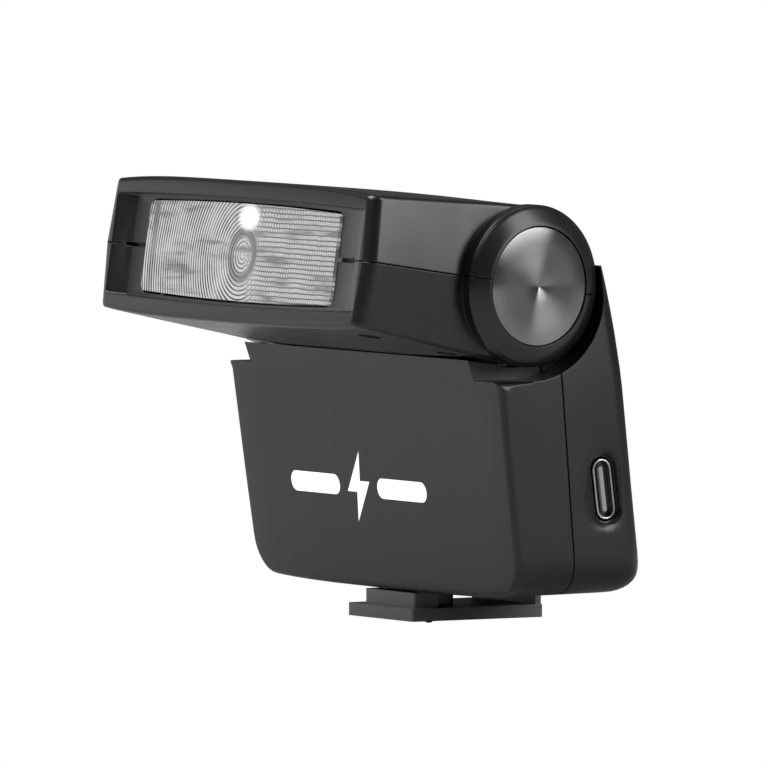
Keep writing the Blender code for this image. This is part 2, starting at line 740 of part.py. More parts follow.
def hinge_bushes(head):
    """Plastic bushes in the barrel's end walls, turning on the shaft."""
    for name, side in (("hinge_bush_left", -1), ("hinge_bush_right", 1)):
        x0, x1 = sorted((side * 31.2, side * 34.7))
        finish(name, tube_x(SHAFT_R + GAP, 4.0, x0, x1),
               material("bush_plastic", (0.5, 0.5, 0.48), 0.5), head)


def detent_wheel(head):
    """Notched wheel that gives the head its click stops."""
    outline = []
    for i in range(48):
        radius = 5.6 if i % 4 == 0 else 6.1
        turn = math.radians(i * 7.5)
        outline.append((radius * math.sin(turn), radius * math.cos(turn)))
    wheel = finish("detent_wheel", along_x(outline, -29.2, -28.0), steel(), head)
    cut(wheel, along_x(circle(SHAFT_R + GAP, 24), -32, -25))


def flash_optics(head):
    """Ribbed window, reflector, flash tube with its two boots, and trigger coil."""
    pane = crowned_box(LENS_HALF_W, LENS_HALF_H, 1.1, 0.5)
    finish("window_lens", along_y(pane, -LENS_FRONT, 1.8 - LENS_FRONT), window(), head)
    outer = [rounded_box(25.9, 6.4, 0.8, 2), rounded_box(25.4, 2.9, 0.8, 2)]
    inner = [rounded_box(25.4, 5.9, 0.6, 2), rounded_box(24.9, 2.4, 0.6, 2)]
    tub = loft([[(x, y, z) for x, z in shape] for shape, y in zip(outer, (-26.0, -15.4))])
    hollow = loft([[(x, y, z) for x, z in shape] for shape, y in zip(inner, (-26.1, -15.9))])
    mirror = finish("reflector", tub, material("reflector_mirror", (0.9, 0.9, 0.91), 0.12, 1.0),
                    head)
    cut(mirror, hollow, along_x(circle(2.05, 24, -18.5, 0.0), -30, 30))
    tube = shifted(turned_x([(-30.0, 1.1), (-29.6, 1.7), (29.6, 1.7), (30.0, 1.1)], 20), y=-18.5)
    finish("flash_tube", tube, material("tube_glass", (0.85, 0.88, 0.9), 0.1), head)
    for name, x0, x1 in (("tube_boot_left", -29.3, -26.3), ("tube_boot_right", 26.3, 29.3)):
        finish(name, shifted(tube_x(2.0, 2.9, x0, x1), y=-18.5),
               material("boot_silicone", (0.7, 0.68, 0.62), 0.6), head)
    wound = turned_x([(-20.0, 2.0), (-19.6, 2.4), (-9.4, 2.4), (-9.0, 2.0)], 20)
    finish("trigger_coil", shifted(wound, y=-10.0, z=5.0),
           material("coil_varnish", (0.35, 0.14, 0.05), 0.35), head)
    finish("head_board", box(-18, 18, -13, -5, -7.4, -6.2), board(), head)


# ---------------------------------------------------------------- assembly

def build():
    clear_scene()
    body = axis_frame("body_axis")
    head = axis_frame("head_axis", -HEAD_REST)
    front_shell(body)
    rear_shell(body)
    charging_port(body)
    rear_controls(body)
    inner_parts(body)
    hinge_bracket(body)
    case_screws(body)
    shoe_foot()
    contact_pin()
    foot_screws()
    head_casing("upper_head_shell", head, True)
    lower_head_shell(head)
    end_discs(head)
    hinge_bushes(head)
    detent_wheel(head)
    flash_optics(head)
    bpy.context.view_layer.update()


build()
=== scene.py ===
"""The look of the compact camera-top flash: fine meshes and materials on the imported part.

Lengths are millimetres around the hinge axis. Body pieces are drawn in the body's frame,
head pieces in the head's frame, which is turned up by HEAD_REST degrees at rest.
"""

import json
import math

import bmesh
import bpy
from mathutils import Matrix, Vector


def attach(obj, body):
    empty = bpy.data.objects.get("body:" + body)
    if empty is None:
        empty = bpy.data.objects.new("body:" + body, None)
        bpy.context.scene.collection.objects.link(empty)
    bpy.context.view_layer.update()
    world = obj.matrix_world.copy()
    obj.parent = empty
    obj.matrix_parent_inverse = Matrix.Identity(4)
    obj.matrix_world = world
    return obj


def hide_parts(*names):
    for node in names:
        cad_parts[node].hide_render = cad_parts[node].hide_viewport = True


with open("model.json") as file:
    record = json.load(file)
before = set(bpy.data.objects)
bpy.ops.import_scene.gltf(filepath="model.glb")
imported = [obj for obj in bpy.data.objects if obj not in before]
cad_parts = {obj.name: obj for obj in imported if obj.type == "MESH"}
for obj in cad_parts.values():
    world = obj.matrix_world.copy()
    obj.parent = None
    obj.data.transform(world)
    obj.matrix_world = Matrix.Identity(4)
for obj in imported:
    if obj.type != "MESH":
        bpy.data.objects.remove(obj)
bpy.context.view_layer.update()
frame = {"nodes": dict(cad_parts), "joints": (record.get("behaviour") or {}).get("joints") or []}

MM = 0.001
HEAD_REST = 8.5           # degrees that the head looks up at rest
TILT = next(joint for joint in frame["joints"] if joint["name"] == "head_tilt")
BODY_FRAME = Matrix.Translation(Vector(TILT["pos_m"]))
HEAD_FRAME = BODY_FRAME @ Matrix.Rotation(math.radians(-HEAD_REST), 4, "X")
HINGE_Y = TILT["pos_m"][1] / MM
HINGE_Z = TILT["pos_m"][2] / MM
GAP = 0.3                 # clearance between neighbouring pieces
WALL = 1.8                # casing thickness

# Body, in millimetres from the hinge axis.
BODY_HALF = 38.9          # half width at the ledge
BODY_TAPER = 0.031        # loss of half width per millimetre going down
BODY_BOTTOM = -46.0
BOTTOM_SIDE_R = 5.5       # lower corners, seen from the front
BOTTOM_REAR_R = 3.0
BODY_FRONT_R = 0.9        # upright front and rear corners, seen from above
BODY_REAR_R = 3.4
REAR_NARROWING = 2.4      # how much narrower each side is at the rear
LEDGE = -13.8             # shoulders beside the tongue
TONGUE_TOP = -7.6
TONGUE_HALF = 32.0        # half width of the tongue under the head
SHOULDER_TOP = 2.6        # top of the body behind the barrel
LEAN = 0.1275             # forward lean, millimetre per millimetre
FRONT_AT_CURVE = -6.75    # front face where the tongue starts to curve forward
TONGUE_CURVE_Z = -15.1
TONGUE_FLARE = 0.36       # slope of the tongue above its curve
REAR_LEAN = 0.126
REAR_AT_CURVE = 16.9      # rear face where it starts to curve in
REAR_CURVE_Z = -17.0
REAR_CURVE = 0.0035
SEAM_Y = 4.2              # seam of the two body shells, at its own height
SEAM_Z = -12.6
SEAM_LEAN = 0.097
CRADLE_R = 12.4           # hollow for the barrel
SCOOP_R = 12.95           # larger hollow around each end ring
SCOOP_Y = -0.7
SCOOP_Z = -0.85

# Head, in millimetres from the hinge axis.
BARREL_R = 11.7
BARREL_END = 35.1
BARREL_BORE = 9.9
SHAFT_BORE = 4.3
RING_R = 11.85
RING_IN = 34.4
RING_OUT = 38.5           # outer face of the end rings
RING_GROOVE_R = 12.45     # outside of the groove around each end ring
END_TILT = 0.1405         # backward look of the end faces, millimetre per millimetre
DISC_R = 8.65
HEAD_FRONT = 29.2
HEAD_HALF_W = 38.4        # half width at the front rim
HEAD_HALF_H = 9.55
FLANK_HALF_W = 36.5       # half width beside the end rings
SIDE_DRAFT = 0.9          # how far the sides lean in at the top and bottom
CROWN = 0.9               # rise of the top and bottom edges at their middle
POCKET_HALF_W = 35.7
POCKET_FLOOR_W = 31.6     # where the pocket's side slopes meet its floor
POCKET_HALF_H = 7.5
POCKET_DEPTH = 1.3
LENS_FRONT = 28.25
LENS_HALF_W = 27.3
LENS_HALF_H = 6.65
LENS_CROWN = 0.5
LENS_CENTRE = (0.9, -0.4)
LENS_PITCH = 0.66         # distance between the lens rings
LENS_DEPTH = 0.07         # depth of the ring relief
LENS_THICK = 1.8
ROW_PITCH = 0.72          # distance between the window's drawn rows
ARM_X = 24.0              # inner face of each hinge bracket arm
ARM_THICK = 1.4
ARM_HALF_Y = 2.5

# Foot, port and rear face.
FOOT_W = 18.6
FOOT_L = 22.4
FOOT_T = 1.9
PIN_Y = 4.4               # contact pin, behind the hinge axis
BOSS_R = 3.6              # contact housing
FOOT_SCREW_X = 4.8
FOOT_SCREW_Y = 0.5
PORT_FACE = 35.6          # mouth of the charging port
PORT_Y = 12.8
PORT_Z = -30.0
PORT_HALF_Z = 4.47
PORT_HALF_Y = 1.58
PANEL_Z = -22.5
PANEL_HALF_X = 16.0
PANEL_HALF_Z = 3.4
BUTTON_Z = -35.5
BUTTONS = (("power_button", -23.0, 3.3), ("mode_button", -11.0, 2.5),
           ("minus_button", 0.0, 2.5), ("plus_button", 11.0, 2.5),
           ("test_button", 23.0, 3.3))
CASE_SCREWS = ((-30.2, -40.3), (30.2, -40.3), (-30.2, -18.5), (30.2, -18.5))
HEAD_SCREWS = ((-30.5, 22.5), (30.5, 22.5), (-30.5, 9.0), (30.5, 9.0))


# ---------------------------------------------------------------- mesh tools

def mesh_from(points, faces):
    """Mesh from millimetre points, with every face turned outward."""
    mesh = bpy.data.meshes.new("piece")
    mesh.from_pydata([Vector(point) * MM for point in points], [], faces)
    work = bmesh.new()
    work.from_mesh(mesh)
    bmesh.ops.recalc_face_normals(work, faces=work.faces)
    work.to_mesh(mesh)
    work.free()
    return mesh


def loft(rings):
    """Skin closed rings of equal length and close both ends."""
    size = len(rings[0])
    points = [point for ring in rings for point in ring]
    faces = []
    for row in range(len(rings) - 1):
        for i in range(size):
            j = (i + 1) % size
            low = row * size
            high = low + size
            faces.append((low + i, low + j, high + j, high + i))
    last = (len(rings) - 1) * size
    faces.append(tuple(range(size)))
    faces.append(tuple(last + i for i in range(size)))
    return mesh_from(points, faces)


def rounded(corners, steps=8, divide=0):
    """Outline with round corners from (u, v, radius), its straight runs split as asked."""
    outline = []
    count = len(corners)
    for i, (u, v, radius) in enumerate(corners):
        here = Vector((u, v))
        back = (Vector(corners[i - 1][:2]) - here).normalized()
        ahead = (Vector(corners[(i + 1) % count][:2]) - here).normalized()
        if radius <= 0:
            outline.append((u, v))
            continue
        half = back.angle(ahead) / 2
        centre = here + (back + ahead).normalized() * radius / math.sin(half)
        start = here + back * radius / math.tan(half) - centre
        sweep = start.angle_signed(here + ahead * radius / math.tan(half) - centre)
        for k in range(steps + 1):
            turn = Matrix.Rotation(-sweep * k / steps, 2)
            outline.append(tuple(centre + turn @ start))
    return split_runs(outline, divide, 2.0) if divide else outline


def split_runs(outline, divide, longest):
    """Split every run longer than the longest into equal parts."""
    made = []
    for i, here in enumerate(outline):
        there = outline[(i + 1) % len(outline)]
        made.append(here)
        if math.dist(here, there) > longest:
            for k in range(1, divide):
                share = k / divide
                made.append(tuple(a + (b - a) * share for a, b in zip(here, there)))
    return made


def rounded_box(half_u, half_v, radius, steps=8):
    """Outline of a rectangle with round corners, about its centre."""
    return rounded([(half_u, -half_v, radius), (half_u, half_v, radius),
                    (-half_u, half_v, radius), (-half_u, -half_v, radius)], steps)


def bow(count):
    """Places from +1 to -1 across a bowed edge, ends left out."""
    return [1.0 - 2.0 * i / (count + 1) for i in range(1, count + 1)]


def crowned_box(half_u, half_v, radius, rise, steps=8):
    """Rectangle with round corners whose long edges bow outward by the rise."""
    upper = [(u * half_u, half_v + rise * (1 - u * u), 0.0) for u in bow(15)]
    lower = [(-u, -v, 0.0) for u, v, _ in upper]
    return rounded([(half_u, -half_v, radius), (half_u, half_v, radius), *upper,
                    (-half_u, half_v, radius), (-half_u, -half_v, radius), *lower], steps)


def along_x(outline, x0, x1):
    return loft([[(x, y, z) for y, z in outline] for x in (x0, x1)])


def along_y(outline, y0, y1):
    return loft([[(x, y, z) for x, z in outline] for y in (y0, y1)])


def along_z(outline, z0, z1):
    return loft([[(x, y, z) for x, y in outline] for z in (z0, z1)])


def box(x0, x1, y0, y1, z0, z1):
    return along_z([(x0, y0), (x1, y0), (x1, y1), (x0, y1)], z0, z1)


def circle(radius, steps=64, u=0.0, v=0.0):
    turns = [2 * math.pi * i / steps for i in range(steps)]
    return [(u + radius * math.cos(a), v + radius * math.sin(a)) for a in turns]


def sector(inner, outer, start, end, steps=20):
    """(y, z) outline of a ring sector; degrees from straight down to the rear."""
    turns = [math.radians(start + (end - start) * i / steps) for i in range(steps + 1)]
    outside = [(outer * math.sin(a), -outer * math.cos(a)) for a in turns]
    inside = [(inner * math.sin(a), -inner * math.cos(a)) for a in reversed(turns)]
    return outside + inside


def turned_x(profile, steps=160):
    """Turn an (x, radius) profile around the X axis."""
    return loft([[(x, y, z) for y, z in circle(radius, steps)] for x, radius in profile])


def turned_z(profile, steps=48):
    """Turn a (z, radius) profile around the Z axis."""
    return loft([[(x, y, z) for x, y in circle(radius, steps)] for z, radius in profile])


def arc(centre_u, centre_v, radius, start, end, steps=8):
    """Points on an arc, angles in degrees."""
    turns = [math.radians(start + (end - start) * k / steps) for k in range(steps + 1)]
    return [(centre_u + radius * math.cos(a), centre_v + radius * math.sin(a)) for a in turns]


def tilted(mesh, side):
    """Lean a mesh at one end of the barrel, so that its outer face looks a little back."""
    for vertex in mesh.vertices:
        vertex.co.x -= side * END_TILT * vertex.co.y
    return mesh


def boolean(thing, mesh, operation):
    """Cut a mesh from an object, or join it, and keep the result as its mesh."""
    cutter = bpy.data.objects.new("cutter", mesh)
    bpy.context.scene.collection.objects.link(cutter)
    step = thing.modifiers.new("step", "BOOLEAN")
    step.operation = operation
    step.solver = "EXACT"
    step.object = cutter
    bpy.context.view_layer.update()
    graph = bpy.context.evaluated_depsgraph_get()
    result = bpy.data.meshes.new_from_object(thing.evaluated_get(graph))
    thing.modifiers.remove(step)
    old = thing.data
    thing.data = result
    bpy.data.meshes.remove(old)
    bpy.data.objects.remove(cutter)
    return thing


def cut(thing, *meshes):
    for mesh in meshes:
        boolean(thing, mesh, "DIFFERENCE")
    return thing


def join(thing, *meshes):
    for mesh in meshes:
        boolean(thing, mesh, "UNION")
    return thing


def block(mesh, name="work"):
    """Plain object around a mesh, to cut and join before it becomes a piece."""
    thing = bpy.data.objects.new(name, mesh)
    bpy.context.scene.collection.objects.link(thing)
    return thing


def piece(name, thing, finish, place, body, stands_for, sharp=30.0):
    """Name, smooth, paint and mount a piece, and hide the CAD nodes it stands for."""
    if isinstance(thing, bpy.types.Mesh):
        thing = block(thing)
    thing.name = name
    thing.data.name = name
    thing.data.shade_smooth()
    thing.data.set_sharp_from_angle(angle=math.radians(sharp))
    thing.data.materials.clear()
    thing.data.materials.append(finish)
    thing.matrix_world = place
    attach(thing, body)
    if stands_for:
        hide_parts(*stands_for)
    return thing


# ---------------------------------------------------------------- material tools

def add(tree, kind, inputs=None, **settings):
    """Add a node; inputs take a value or another node's output."""
    node = tree.nodes.new("ShaderNode" + kind)
    for key, value in settings.items():
        setattr(node, key, value)
    for key, value in (inputs or {}).items():
        socket = node.inputs[key]
        if isinstance(value, bpy.types.NodeSocket):
            tree.links.new(value, socket)
        else:
            socket.default_value = value
    return node


def maths(tree, operation, first, second=0.0, third=0.0):
    """Output of a maths node."""
    return add(tree, "Math", {0: first, 1: second, 2: third}, operation=operation).outputs[0]


def spread(tree, value, low, high, to_low, to_high, smooth=False):
    """Remap a value from one range to another, held at its ends."""
    kind = "SMOOTHSTEP" if smooth else "LINEAR"
    inputs = {"Value": value, "From Min": low, "From Max": high,
              "To Min": to_low, "To Max": to_high}
    return add(tree, "MapRange", inputs, interpolation_type=kind).outputs["Result"]


def noise(tree, per_metre, detail=2.0, stretch=(1.0, 1.0, 1.0)):
    """Noise over the object's own coordinates."""
    place = add(tree, "TexCoord").outputs["Object"]
    place = add(tree, "Mapping", {"Vector": place, "Scale": stretch}).outputs["Vector"]
    inputs = {"Vector": place, "Scale": per_metre, "Detail": detail}
    return add(tree, "TexNoise", inputs).outputs["Fac"]


def tinted(tree, factor, dark, light):
    """Colour between two, by a factor."""
    mix = add(tree, "Mix", {0: factor, 6: (*dark, 1.0), 7: (*light, 1.0)}, data_type="RGBA")
    return mix.outputs[2]


def new_tree(name):
    """Fresh material, its node tree and its Principled shader."""
    made = bpy.data.materials.new(name)
    made.use_nodes = True
    return made, made.node_tree, made.node_tree.nodes["Principled BSDF"]


def set_inputs(tree, shader, inputs):
    for key, value in inputs.items():
        if isinstance(value, bpy.types.NodeSocket):
            tree.links.new(value, shader.inputs[key])
        else:
            shader.inputs[key].default_value = value


def surface(name, dark, light, roughness, metallic=0.0, grain=4000.0, depth=0.004,
            edge=0.2, stretch=(1.0, 1.0, 1.0), **extra):
    """Material with mottled colour, uneven roughness, fine grain and softened edges.

    Grain is noise cells per metre; depth and edge radius are millimetres.
    """
    made, tree, shader = new_tree(name)
    mottle = noise(tree, 90.0, 3.0)
    fine = noise(tree, grain, 2.0, stretch)
    normal = add(tree, "Bevel", {"Radius": edge * MM}, samples=6).outputs["Normal"]
    bump = add(tree, "Bump", {"Strength": 0.5, "Distance": depth * MM,
                              "Height": fine, "Normal": normal})
    rough = spread(tree, mottle, 0.3, 0.7, roughness - 0.02, roughness + 0.03)
    set_inputs(tree, shader, {"Base Color": tinted(tree, mottle, dark, light),
                              "Roughness": rough, "Metallic": metallic,
                              "Normal": bump.outputs["Normal"], **extra})
    return made


def grey(level, warm=0.0):
    """Grey colour, tinted towards red when it's warm."""
    return (level * (1 + warm), level, level * (1 - warm))


# ---------------------------------------------------------------- materials

def casing_plastic():
    """Black satin plastic of both casings."""
    return surface("casing_plastic", grey(0.0075), grey(0.0095), 0.29, grain=5200.0)


def spun_metal():
    """Dark metal with fine concentric turning marks."""
    made, tree, shader = new_tree("spun_dark_metal")
    place = add(tree, "TexCoord").outputs["Object"]
    parts = add(tree, "SeparateXYZ", {0: place}).outputs
    radius = maths(tree, "SQRT", squared_sum(tree, parts["Y"], parts["Z"]))
    rings = add(tree, "TexNoise", {"W": times(tree, radius, 15000.0),
                                   "Scale": 1.0, "Detail": 3.0},
                noise_dimensions="1D").outputs["Fac"]
    bump = add(tree, "Bump", {"Strength": 0.25, "Distance": 0.004 * MM, "Height": rings})
    tangent = add(tree, "Tangent", direction_type="RADIAL", axis="X").outputs["Tangent"]
    set_inputs(tree, shader, {
        "Base Color": tinted(tree, rings, grey(0.14), grey(0.3)),
        "Metallic": 1.0, "Anisotropic": 0.99, "Anisotropic Rotation": 0.25,
        "Tangent": tangent,
        "Roughness": spread(tree, rings, 0.3, 0.7, 0.15, 0.2),
        "Normal": bump.outputs["Normal"]})
    return made


def times(tree, first, second):
    return maths(tree, "MULTIPLY", first, second)


def squared_sum(tree, first, second):
    return maths(tree, "ADD", times(tree, first, first), times(tree, second, second))


def shade_of(tree, level):
    """Grey colour from a level."""
    return add(tree, "CombineColor", {0: level, 1: level, 2: level}).outputs[0]


def window_painted_shade(tree, x, z, radius):
    """Painted shade on the window: dark rings, rows to the right, streaks, a halo and a side
    bar.
    """
    shade_patch = noise(tree, 260.0, 3.0)
    shade_streak = noise(tree, 700.0, 3.0, (0.12, 1.0, 1.0))
    turn = 2.0 * math.pi
    ring = maths(tree, "COSINE", times(tree, radius, turn / LENS_PITCH))
    sway = spread(tree, shade_patch, 0.2, 0.8, -1.2, 1.2)
    row = maths(tree, "COSINE", maths(tree, "MULTIPLY_ADD", z, turn / ROW_PITCH, sway))
    to_right = spread(tree, x, -2.0, 6.0, 0.0, 1.0, True)
    halo_in = spread(tree, radius, 2.3, 3.1, 0.0, 1.0, True)
    halo_out = spread(tree, radius, 3.6, 4.8, 1.0, 0.0, True)
    bar = times(tree, spread(tree, x, -27.2, -26.4, 0.0, 1.0, True),
                spread(tree, x, -25.6, -24.8, 1.0, 0.0, True))
    parts = [times(tree, spread(tree, ring, -0.2, 0.9, 0.0, 1.0),
                   spread(tree, shade_patch, 0.3, 0.62, 0.5, 1.0)),
             times(tree, spread(tree, row, 0.1, 0.9, 0.0, 0.8), to_right),
             spread(tree, shade_streak, 0.52, 0.7, 0.0, 0.7, True),
             times(tree, times(tree, halo_in, halo_out), 0.72),
             times(tree, bar, spread(tree, z, -6.0, 5.0, 0.35, 0.8))]
    dark = parts[0]
    for part in parts[1:]:
        dark = maths(tree, "MAXIMUM", dark, part)
    return dark


def window_painted_highlight(tree, x, z):
    """Painted highlight: a soft bright oval above the middle of the window."""
    across = maths(tree, "DIVIDE", maths(tree, "SUBTRACT", x, 0.6), 3.2)
    up = maths(tree, "DIVIDE", maths(tree, "SUBTRACT", z, 5.6), 2.1)
    return spread(tree, squared_sum(tree, across, up), 0.3, 1.3, 1.0, 0.0, True)


def window_painted_light():
    """Clear ribbed window over a bright reflector, drawn as one surface with painted light: the
    reflector's brightness is painted as a glow, with painted dark lines and a painted highlight.
    """
    made, tree, shader = new_tree("ribbed_window_painted_light")
    place = add(tree, "TexCoord").outputs["Object"]
    parts = add(tree, "SeparateXYZ", {0: place}).outputs
    x = maths(tree, "MULTIPLY_ADD", parts["X"], 1.0 / MM, -LENS_CENTRE[0])
    z = maths(tree, "MULTIPLY_ADD", parts["Z"], 1.0 / MM, -LENS_CENTRE[1])
    radius = maths(tree, "SQRT", squared_sum(tree, x, z))
    # painted highlight: a bright oval that also raises the glow
    painted_highlight = window_painted_highlight(tree, x, z)
    dark = times(tree, window_painted_shade(tree, x, z, radius), maths(tree, "SUBTRACT", 1.0, painted_highlight))
    # painted light: this level sets both the window's colour and its glow
    level = spread(tree, dark, 0.0, 1.0, 0.95, 0.02)
    set_inputs(tree, shader, {"Base Color": shade_of(tree, times(tree, level, 0.12)),
                              "Roughness": 0.25,
                              "Emission Color": shade_of(tree, level),
                              "Emission Strength": spread(tree, painted_highlight, 0.0, 1.0, 0.5, 1.0),
                              "Coat Weight": 0.6, "Coat Roughness": 0.12})
    return made


def board_green():
    """Solder mask with faint copper tracks under it."""
    made, tree, shader = new_tree("circuit_board")
    place = add(tree, "TexCoord").outputs["Object"]
    tracks = add(tree, "TexBrick", {"Vector": place, "Scale": 420.0, "Mortar Size": 0.06,
                                    "Color1": (0.01, 0.09, 0.035, 1.0),
                                    "Color2": (0.012, 0.11, 0.045, 1.0),
                                    "Mortar": (0.03, 0.2, 0.08, 1.0)})
    rough = spread(tree, noise(tree, 900.0), 0.3, 0.7, 0.3, 0.45)
    bump = add(tree, "Bump", {"Strength": 0.4, "Distance": 0.02 * MM,
                              "Height": tracks.outputs["Fac"]})
    set_inputs(tree, shader, {"Base Color": tracks.outputs["Color"], "Roughness": rough,
                              "Normal": bump.outputs["Normal"]})
    return made


def make_materials():
    """Every finish, by the record's slot name."""
    # painted glow: the white print gives off a little light of its own
    painted_glow = {"Emission Color": (1.0, 1.0, 1.0, 1.0), "Emission Strength": 0.8}
    return {
        "casing": casing_plastic(),
        "window": window_painted_light(),
        "spun_metal": spun_metal(),
        "steel": surface("plated_steel", grey(0.5), grey(0.62), 0.26, 1.0, depth=0.002),
        "foot": surface("foot_plastic", grey(0.085), grey(0.11), 0.4, edge=0.15),
        "button": surface("button_plastic", grey(0.035), grey(0.05), 0.5, depth=0.006),
        "smoked_window": surface("smoked_window", grey(0.006), grey(0.009), 0.1,
                                 depth=0.0005),
        "light_guide": surface("light_guide", grey(0.7), grey(0.8), 0.3),
        "keypad": surface("keypad_rubber", grey(0.04), grey(0.06), 0.75, grain=2500.0),
        "contact_tongue": surface("contact_tongue", grey(0.3), grey(0.4), 0.4, depth=0.002),
        "board": board_green(),
        "cell": surface("cell_wrap", (0.2, 0.26, 0.32), (0.26, 0.32, 0.38), 0.4, 0.3),
        "capacitor": surface("capacitor_sleeve", grey(0.02), grey(0.035), 0.35),
        "ferrite": surface("ferrite", grey(0.06), grey(0.09), 0.7, grain=2500.0, depth=0.02),
        "mirror": surface("reflector_mirror", grey(0.85), grey(0.92), 0.12, 1.0, depth=0.001),
        "tube_glass": surface("tube_glass", grey(0.8), grey(0.9), 0.08, depth=0.0005),
        "boot": surface("boot_silicone", grey(0.6, 0.08), grey(0.7, 0.08), 0.6),
        "coil": surface("coil_varnish", (0.3, 0.1, 0.03), (0.42, 0.17, 0.06), 0.35,
                        grain=3000.0, stretch=(6.0, 0.3, 0.3), depth=0.03),
        "bush": surface("bush_plastic", grey(0.45, 0.02), grey(0.52, 0.02), 0.5),
        "mark": surface("white_print_painted_glow", grey(0.86), grey(0.92), 0.5, depth=0.002, edge=0.02,
                        **painted_glow),
    }


# ---------------------------------------------------------------- body casing

def front_y(z):
    """Front face of the body at a height."""
    if z > TONGUE_CURVE_Z:
        return FRONT_AT_CURVE - (z - TONGUE_CURVE_Z) * TONGUE_FLARE
    return FRONT_AT_CURVE + (TONGUE_CURVE_Z - z) * LEAN


def rear_y(z):
    """Rear face of the body at a height."""
    straight = REAR_AT_CURVE + (REAR_CURVE_Z - z) * REAR_LEAN
    if z <= REAR_CURVE_Z:
        return straight
    return straight - REAR_CURVE * (z - REAR_CURVE_Z) ** 2


def edge_inset(rise, radius):
    """How far a rounded edge is drawn in, at a height above its lowest line."""
    if rise >= radius:
        return 0.0
    return radius - math.sqrt(radius ** 2 - (radius - rise) ** 2)


def body_ring(z, inset, steps, divide):
    """Outline of the body at a height, drawn in by the inset on every side."""
    rise = max(z - BODY_BOTTOM - inset, 0.0)
    half = BODY_HALF - BODY_TAPER * max(LEDGE - z, 0.0) - inset
    half -= edge_inset(rise, BOTTOM_SIDE_R)
    front = front_y(z) + inset + edge_inset(rise, 0.6)
    rear = rear_y(z) - inset - edge_inset(rise, BOTTOM_REAR_R)
    rear_half = half - REAR_NARROWING
    rear_r = BODY_REAR_R - inset
    corners = [(half, front, BODY_FRONT_R), (rear_half, rear, rear_r),
               (-rear_half, rear, rear_r), (-half, front, BODY_FRONT_R)]
    flat = max(0.0, 1.0 - rise / 15.0)
    ring = []
    for x, y in rounded(corners, steps, divide):
        lift = flat * (0.008 * (y - front) + (x / BODY_HALF) ** 4)
        ring.append((x, y, z + lift))
    return ring


def body_block(inset, top, fine=True):
    """Closed block with the outline of the body."""
    rises = [0.0, 0.08, 0.25, 0.6, 1.1, 1.7, 2.5, 3.4, 4.4, 6.0, 9.0, 12.0, 16.0]
    if not fine:
        rises = rises[::3]
    heights = [BODY_BOTTOM + inset + rise for rise in rises]
    heights += [-26.0, -20.0, TONGUE_CURVE_Z, -12.5, TONGUE_TOP, -7.0, -4.0, -1.0, 1.0]
    steps, divide = (10, 16) if fine else (3, 0)
    rings = [body_ring(z, inset, steps, divide) for z in heights if z < top]
    return loft(rings + [body_ring(top, inset, steps, divide)])


def hollow_x(radius, x0, x1, y=0.0, z=0.0):
    return along_x(circle(radius, 160, y, z), x0, x1)


def seam_y(z):
    """Joint between the front and rear shells."""
    return SEAM_Y + (SEAM_Z - z) * SEAM_LEAN


def beyond_seam(side):
    """Block on the rear (+1) or front (-1) of the seam."""
    low, high, reach, half_gap = -60.0, 20.0, 60.0, 0.12
    edge = [(seam_y(z) - side * half_gap, z) for z in (low, high)]
    away = [(seam_y(z) + side * reach, z) for z in (high, low)]
    return along_x(edge + away, -60.0, 60.0)


def end_region(side, inner):
    """Sorted X range from an inner place out past one end."""
    return sorted((side * inner, side * 45.0))


def head_half_h(ahead):
    """Half height of the head, flaring from its front to the barrel."""
    share = (HEAD_FRONT - ahead) / HEAD_FRONT
    return HEAD_HALF_H + (BARREL_R - 0.03 - HEAD_HALF_H) * share


def under_head():
    """Block that keeps the tongue a gap below the head's underside at rest."""
    clear = 0.15
    edge = [(0.0, 20.0), (-HEAD_FRONT, 20.0)]
    for ahead in (HEAD_FRONT, 20.0, 14.0, 10.0, 7.0, 4.0, 2.0, 0.0):
        edge.append((-ahead, -head_half_h(ahead) - head_crown(ahead) - clear))
    mesh = along_x(edge, -45.0, 45.0)
    mesh.transform(Matrix.Rotation(math.radians(-HEAD_REST), 4, "X"))
    return mesh


def body_hollow():
    """Space inside the body, a wall away from the cradle and the end scoops."""
    hollow = block(body_block(WALL, LEDGE + 6.0, False))
    cut(hollow, hollow_x(CRADLE_R + 1.6, -40, 40))
    for side in (-1, 1):
        near, far = end_region(side, TONGUE_HALF - 2.0)
        cut(hollow, hollow_x(SCOOP_R + WALL, near, far, SCOOP_Y, SCOOP_Z))
        cut(hollow, box(near, far, -20, 30, LEDGE - WALL, 10))
    return taken(hollow)


def taken(thing):
    """The mesh of a working object, which is removed."""
    mesh = thing.data.copy()
    bpy.data.objects.remove(thing)
    return mesh


def shoulder_rounds():
    """What is taken off the outer top edges of the two shoulders."""
    radius = 1.5
    rounds = []
    for side in (-1, 1):
        centre = side * (BODY_HALF - radius)
        outline = [(x, z) for x, z in arc(0.0, LEDGE - radius, radius, 0, 90, 10)]
        outline = [(centre + side * x, z) for x, z in outline]
        outline += [(centre, LEDGE + 1.0), (side * 45.0, LEDGE + 1.0),
                    (side * 45.0, LEDGE - radius)]
        rounds.append(along_y(outline, -20.0, -1.0))
    return rounds


